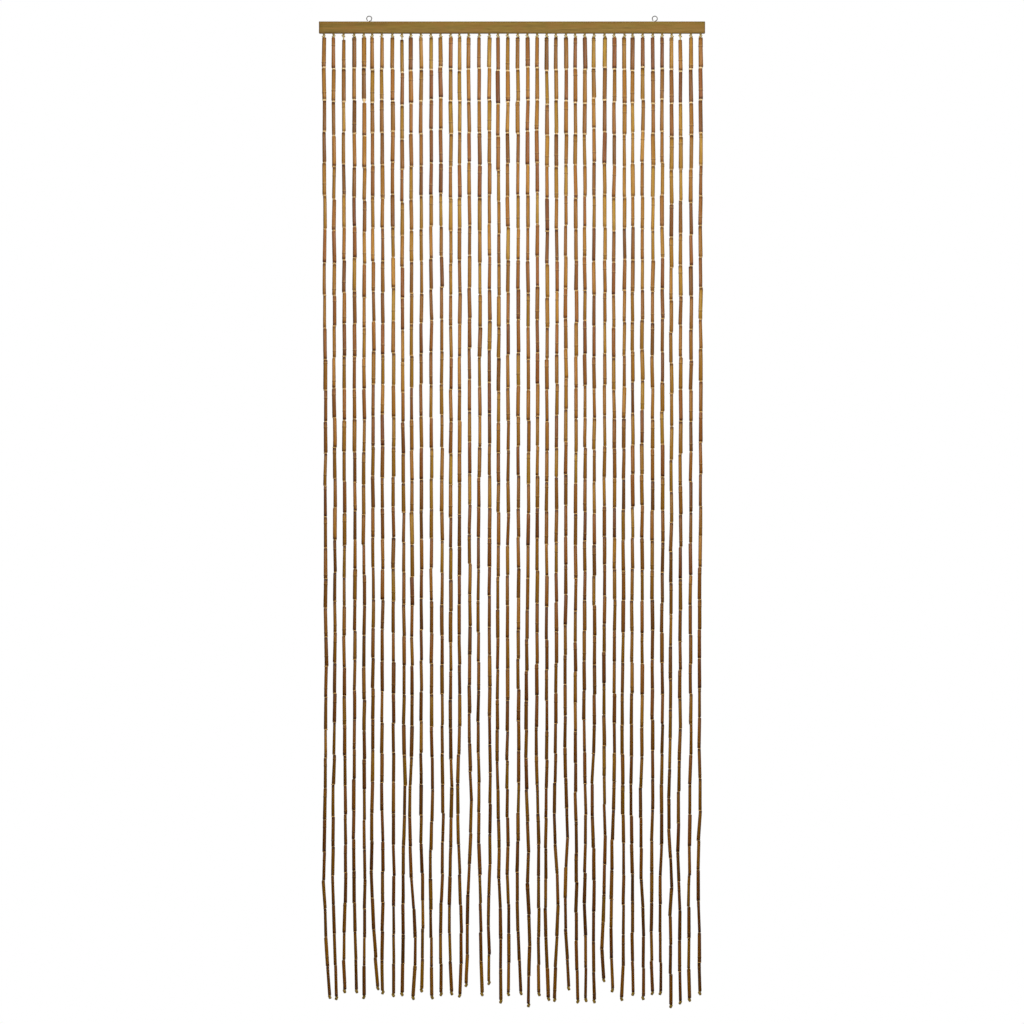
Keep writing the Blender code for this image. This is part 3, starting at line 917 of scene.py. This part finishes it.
def drill(piece):
    """Cuts forty blind holes upwards from below, with one mesh of closed prisms as the cutter."""
    x = np.array([stick_ends(number)[0][0, 0] for number in range(1, STRANDS + 1)])[:, None, None]
    z = np.array([-RAIL_HEIGHT - DRILL_BELOW, -RAIL_HEIGHT + HOLE_DEPTH])[None, :, None]
    angle = ring_angles(HOLE_AROUND)
    round_x, round_y = HOLE_RADIUS * np.cos(angle), HOLE_RADIUS * np.sin(angle)
    shape = (STRANDS, 2, HOLE_AROUND)
    points = np.stack([np.broadcast_to(part, shape) for part in (x + round_x, round_y, z)], axis=-1)
    quads = many_quads(grid_quads(2, HOLE_AROUND)[:, ::-1], STRANDS, 2 * HOLE_AROUND)
    base = np.arange(STRANDS)[:, None] * 2 * HOLE_AROUND
    lower = (base + np.arange(HOLE_AROUND))[:, ::-1]
    upper = base + HOLE_AROUND + np.arange(HOLE_AROUND)
    cutter = put_mesh("cord_drill", points, [*quads, *lower, *upper])
    cut = piece.modifiers.new("cord_holes", "BOOLEAN")
    cut.object = cutter
    cut.operation = "DIFFERENCE"
    cut.solver = "EXACT"
    bpy.context.view_layer.objects.active = piece
    with bpy.context.temp_override(object=piece, active_object=piece):
        bpy.ops.object.modifier_apply(modifier=cut.name)
    bpy.data.objects.remove(cutter, do_unlink=True)
    piece.data.set_sharp_from_angle(angle=RAIL_SHARP)


rail = make_rail()
drill(rail)
print("the rail has", len(rail.data.polygons), "faces")

# %% [markdown]
# Rail wood
#
# The batten is pale timber under an olive-brown stain. Long grain runs from end to end, so its noise is
# squeezed along X, and the stain lies unevenly in soft patches. The upper and lower edges are tinted darker
# and olive. The cut ends drink more stain and are darkest.

# %% The rail's colours
RAIL_BANDS = ((0.34, (0.188, 0.110, 0.011)), (0.52, (0.230, 0.141, 0.014)), (0.68, (0.258, 0.137, 0.017)))
RAIL_POOLED = (0.235, 0.108, 0.014, 1)
# The upper and lower edges are tinted darker and olive.
RAIL_EDGE_TINT = ((0.74, (1.0, 1.0, 1.0)), (0.97, (0.70, 0.66, 0.36)))
RAIL_END_TINT = ((0.995, (1.0, 1.0, 1.0)), (0.9995, (0.62, 0.55, 0.48)))
RAIL_EDGE_STRENGTH = 0.85
GRAIN_SHADES = ((0.34, 0.55), (0.52, 0.95), (0.7, 1.0))
GRAIN_STRENGTH = 0.6
POOLS = ((0.42, 0.0), (0.62, 1.0))
POOLED_STRENGTH = 0.5
RAIL_ROUGHNESS = ((0.3, 0.72), (0.7, 0.52))
GRAIN_RELIEF = 0.6 * MM

# %% The rail's material


def rail_material():
    """Grain and soft bands squeezed along X, pooled stain, and edges and ends that darken with distance."""
    r = Recipe("rail_wood")
    along, _, up = r.parts(r.object_place())
    grain = r.noise(r.place((0.05, 1.0, 1.0)), 700.0, 4.0, 0.6)
    bands = r.noise(r.place((0.03, 1.0, 1.0), (0.3, 0.0, 0.0)), 160.0, 2.0)
    pooled = r.noise(r.place((0.35, 1.0, 1.0), (0.0, 0.2, 0.0)), 75.0, 2.0)
    colour = r.mix("MULTIPLY", GRAIN_STRENGTH, r.ramp(bands, RAIL_BANDS), r.ramp(grain, GRAIN_SHADES))
    wet = r.math("MULTIPLY", r.ramp(pooled, POOLS), POOLED_STRENGTH)
    colour = r.mix("MIX", wet, colour, RAIL_POOLED)
    from_middle = r.math("ABSOLUTE", r.math("ADD", up, RAIL_HEIGHT / 2))
    edge = r.math("DIVIDE", from_middle, RAIL_HEIGHT / 2)
    # Tints the upper and lower edges darker and olive.
    colour = r.mix("MULTIPLY", RAIL_EDGE_STRENGTH, colour, r.ramp(edge, RAIL_EDGE_TINT))
    end = r.math("DIVIDE", r.math("ABSOLUTE", along), RAIL_LENGTH / 2)
    colour = r.mix("MULTIPLY", 1.0, colour, r.ramp(end, RAIL_END_TINT))
    r.bump(grain, GRAIN_RELIEF, 0.5)
    roughness = r.ramp(grain, RAIL_ROUGHNESS)
    return r.finish({"Base Color": colour, "Roughness": roughness, "Specular IOR Level": 0.32})


RAIL_WOOD = rail_material()
finish_piece(rail, RAIL_WOOD, ("rail",))

# %% [markdown]
# Screw eyes
#
# Two bought fittings carry the curtain: steel wire bent into a ring that doesn't quite close, on a threaded
# point. The path is a pointed shank, a short bend and most of a circle. The thread is a true helical ridge:
# it makes the tube's radius a function of both the angle round the wire and the height, which a sweep of
# rings can show if they lie close together. Most of it sits inside the rail.

# %% Sizes of a screw eye
EYE_FROM_MIDDLE = 296 * MM
EYE_OUTER = 12.2 * MM
EYE_WIRE = 1.8 * MM
EYE_SHANK = 15 * MM
EYE_RING_FROM = math.radians(-55)
EYE_RING_TO = math.radians(236)
EYE_ABOVE_RAIL = 0.4 * MM
EYE_CENTRE = EYE_OUTER / 2 + EYE_ABOVE_RAIL
EYE_AROUND = 14
EYE_END = 0.8
BEND_POINTS = 6
ARC_POINTS = 56
THREAD_PITCH = 1.2 * MM
THREAD_RAISED = 0.12
THREAD_RINGS = 60
THREAD_FROM = 2.5 * MM
THREAD_RISES_OVER = 1.0 * MM
TIP_LENGTH = 3.2 * MM
TIP_SHARE = 0.06

# %% The screw eye's surface


def eye_path():
    """The path's (x, z) points from the tip up: a straight shank, a Bezier bend and the ring's arc."""
    ring = (EYE_OUTER - EYE_WIRE) / 2
    start = np.array([ring * math.cos(EYE_RING_FROM), EYE_CENTRE + ring * math.sin(EYE_RING_FROM)])
    heading = np.array([-math.sin(EYE_RING_FROM), math.cos(EYE_RING_FROM)])
    top = np.array([0.0, EYE_CENTRE - ring - EYE_WIRE / 2])
    heights = np.linspace(-EYE_SHANK, top[1], THREAD_RINGS, endpoint=False)
    shank = np.stack([np.zeros(THREAD_RINGS), heights], axis=1)
    reach = np.linalg.norm(start - top) / 3
    t = np.linspace(0, 1, BEND_POINTS, endpoint=False)[:, None]
    bend = top * (1 - t) ** 3 + 3 * (top + (0, reach)) * t * (1 - t) ** 2
    bend = bend + 3 * (start - heading * reach) * t * t * (1 - t) + start * t**3
    angle = np.linspace(EYE_RING_FROM, EYE_RING_TO, ARC_POINTS)
    arc = np.stack([ring * np.cos(angle), EYE_CENTRE + ring * np.sin(angle)], axis=1)
    return np.concatenate([shank, bend, arc])


def make_screw_eye(side):
    """A tube on the path; round the shank its radius follows a helix, and at the tip it comes to a point."""
    flat = eye_path()
    path = np.stack([flat[:, 0], np.zeros(len(flat)), flat[:, 1]], axis=1)
    along = unit(np.gradient(path, axis=0))
    square = np.broadcast_to((0.0, 1.0, 0.0), along.shape)
    other = np.cross(along, square)
    angle = ring_angles(EYE_AROUND)
    depth = -path[:, 2]
    threaded = np.clip((depth - THREAD_FROM) / THREAD_RISES_OVER, 0, 1)[:, None]
    helix = np.cos(angle[None] - depth[:, None] / THREAD_PITCH * TURN)
    tip = np.clip((EYE_SHANK - depth) / TIP_LENGTH, TIP_SHARE, 1)[:, None]
    radius = EYE_WIRE / 2 * tip * (1 + threaded * THREAD_RAISED * helix)
    radius[-1] *= EYE_END
    round_wire = square[:, None] * np.cos(angle)[:, None] + other[:, None] * np.sin(angle)[:, None]
    points = path[:, None] + radius[..., None] * round_wire + (side * EYE_FROM_MIDDLE, 0, 0)
    faces = [*grid_quads(len(path), EYE_AROUND)[:, ::-1], *end_caps(len(path), EYE_AROUND)]
    return put_mesh("eye_left" if side < 0 else "eye_right", points, faces)


print("an eye is swept from", len(eye_path()), "rings")

# %% The eyes' steel
STEEL_SHADES = ((0.35, (0.085, 0.085, 0.08)), (0.65, (0.16, 0.16, 0.15)))
STEEL_ROUGHNESS = ((0.3, 0.50), (0.7, 0.32))
STEEL_RELIEF = 0.1 * MM


def steel_material():
    """Dull plated wire: a soft cloud of shade and gloss, and a very fine relief from drawing the wire."""
    r = Recipe("eye_steel")
    cloud = r.noise(r.place((1.0, 1.0, 1.0)), 420.0, 3.0)
    drawn = r.noise(r.place((1.0, 1.0, 1.0)), 2600.0, 1.0)
    r.bump(drawn, STEEL_RELIEF, 0.3)
    colour, roughness = r.ramp(cloud, STEEL_SHADES), r.ramp(cloud, STEEL_ROUGHNESS)
    return r.finish({"Base Color": colour, "Roughness": roughness, "Metallic": 1.0})


STEEL = steel_material()
for side, node in ((-1, "screw_eye_left"), (1, "screw_eye_right")):
    finish_piece(make_screw_eye(side), STEEL, (node,))

# %% [markdown]
# Floor
#
# A pale round floor lies below the feet, so that a raised view shows which way is down. Lit like everything
# else, it would throw light up onto the feet. So its paint is a middling grey, and a glow that only the
# camera sees makes it pale.

# %% Floor
FLOOR_BELOW_TOP = 2.2
FLOOR_RADIUS = 0.68
FLOOR_RINGS = (0.02, 0.2, 0.4)
FLOOR_EDGE = 20 * MM
FLOOR_ROLL = 0.3
FLOOR_AROUND = 96
FLOOR_PAINT = (0.50, 0.495, 0.485, 1)
FLOOR_SEEN = (1.0, 0.99, 0.97, 1)
FLOOR_GLOW = 0.72


def make_floor():
    """A round pale floor: rings that widen from the middle and roll over at the edge."""
    roll = FLOOR_RADIUS - FLOOR_EDGE * np.array([1, FLOOR_ROLL, 0])
    radius = np.array([*FLOOR_RINGS, *roll])[:, None]
    drop = np.array([0.0, 0.0, 0.0, 0.0, FLOOR_ROLL, 1.0])[:, None] * FLOOR_EDGE
    angle = ring_angles(FLOOR_AROUND)
    shape = (len(radius), FLOOR_AROUND)
    height = np.broadcast_to(-drop - FLOOR_BELOW_TOP, shape)
    points = np.stack([radius * np.cos(angle), radius * np.sin(angle), height], axis=-1)
    return put_mesh("floor", points, [*grid_quads(*shape), np.arange(FLOOR_AROUND)])


def floor_material():
    """Pale paint that looks lit to the camera, but throws no extra light on the feet above it."""
    r = Recipe("pale_floor")
    glow = r.math("MULTIPLY", r.add("LightPath").outputs["Is Camera Ray"], FLOOR_GLOW)
    colours = {"Base Color": FLOOR_PAINT, "Emission Color": FLOOR_SEEN}
    return r.finish({**colours, "Emission Strength": glow, "Roughness": 0.9})


floor = make_floor()
floor.data.materials.append(floor_material())
floor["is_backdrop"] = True

# %% [markdown]
# Light
#
# A soft light stands high in front of the curtain, near the rail, so the top sticks are bright and the
# light falls away towards the feet. A sun lamp would light all of it alike. Two more lamps, one behind and
# one above, only reach what the front view doesn't see: they are narrow, and gloss doesn't mirror them.

# %% Light
# Each lamp is its place, the point it faces, its width and height, its watts and whether gloss mirrors it.
LAMPS = {
    "front": ((0.15, -1.3, -0.24), (0.0, 0.0, -0.26), (2.0, 0.5), 26.5, True),
    "back": ((-0.1, 2.2, -0.5), (0.0, 0.0, -0.6), (0.9, 1.2), 44, False),
    "above": ((0.0, 0.0, 1.2), (0.0, 0.0, 0.0), (0.9, 0.12), 14, False),
}


def add_soft_light(name, place, target, size, power, mirrored):
    """A rectangular area light at a place, turned towards a target; it may be kept out of all reflections."""
    lamp = bpy.data.lights.new(name, "AREA")
    lamp.shape = "RECTANGLE"
    lamp.size, lamp.size_y = size
    lamp.energy = power
    held = bpy.data.objects.new(name, lamp)
    held.location = place
    held.visible_camera = False
    held.visible_glossy = mirrored
    held.rotation_euler = (Vector(target) - Vector(place)).to_track_quat("-Z", "Y").to_euler()
    bpy.context.scene.collection.objects.link(held)


for name, settings in LAMPS.items():
    add_soft_light(name, *settings)
print(len(LAMPS), "soft lights")

# %% [markdown]
# Backdrop
#
# The curtain hangs in front of plain white. The background is white for the camera alone. For every other
# ray it is a dim warm fill, which softens the shadows without washing out the bamboo, and it is browner in
# gloss, where a white one would put grey edges on the sticks.

# %% Backdrop
FILL_ON_MATT = (1, 0.94, 0.82, 1)
FILL_IN_GLOSS = (0.80, 0.52, 0.22, 1)
FILL_STRENGTH = 0.104
world = bpy.data.worlds.new("studio")
world.use_nodes = True
bpy.context.scene.world = world
shade = world.node_tree
for node in list(shade.nodes):
    shade.nodes.remove(node)
ray = shade.nodes.new("ShaderNodeLightPath")
tone = shade.nodes.new("ShaderNodeMix")
fill = shade.nodes.new("ShaderNodeBackground")
seen = shade.nodes.new("ShaderNodeBackground")
choose = shade.nodes.new("ShaderNodeMixShader")
out = shade.nodes.new("ShaderNodeOutputWorld")
tone.data_type = "RGBA"
# The Mix node's colours are inputs 6 and 7.
tone.inputs[6].default_value = FILL_ON_MATT
tone.inputs[7].default_value = FILL_IN_GLOSS
fill.inputs["Strength"].default_value = FILL_STRENGTH
seen.inputs["Color"].default_value = (1, 1, 1, 1)
shade.links.new(ray.outputs["Is Glossy Ray"], tone.inputs[0])
shade.links.new(tone.outputs[2], fill.inputs["Color"])
shade.links.new(ray.outputs["Is Camera Ray"], choose.inputs[0])
shade.links.new(fill.outputs[0], choose.inputs[1])
shade.links.new(seen.outputs[0], choose.inputs[2])
shade.links.new(choose.outputs[0], out.inputs["Surface"])
bpy.context.scene.view_settings.view_transform = "Standard"
print("the backdrop's fill is", FILL_STRENGTH, "as bright as the white behind the curtain")

# %% [markdown]
# Camera
#
# The rail's edges look straight and level and the outer strands look as plumb as the middle ones, so the
# photo was taken level with the middle of the drop and from far away. The lens is set so that one pixel
# covers the same length as there.

# %% Camera
FRAME_PIXELS = 1024
PIXEL_COVERS = 2.073 * MM
RAIL_TOP_PIXEL = 21.8
CAMERA_AWAY = 7.0
SENSOR_WIDTH = 36
camera_data = bpy.data.cameras.new("camera")
camera_data.sensor_width = SENSOR_WIDTH
camera_data.lens = SENSOR_WIDTH * CAMERA_AWAY / (FRAME_PIXELS * PIXEL_COVERS)
camera_data.clip_end = 50
camera = bpy.data.objects.new("camera", camera_data)
camera.location = (0, -CAMERA_AWAY, -(FRAME_PIXELS / 2 - RAIL_TOP_PIXEL) * PIXEL_COVERS)
camera.rotation_euler = (math.pi / 2, 0, 0)
bpy.context.scene.collection.objects.link(camera)
bpy.context.scene.camera = camera
print("the camera looks from", CAMERA_AWAY, "m away through a lens of", round(camera_data.lens, 1), "mm")

# %% Measure and finish
dressed_low, dressed_high = (np.array(corner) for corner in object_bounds())
proud = np.stack([solid_low - dressed_low, dressed_high - solid_high]) * 1000
print("the dressed curtain stands proud of its solids by", proud.round(2).tolist(), "mm")
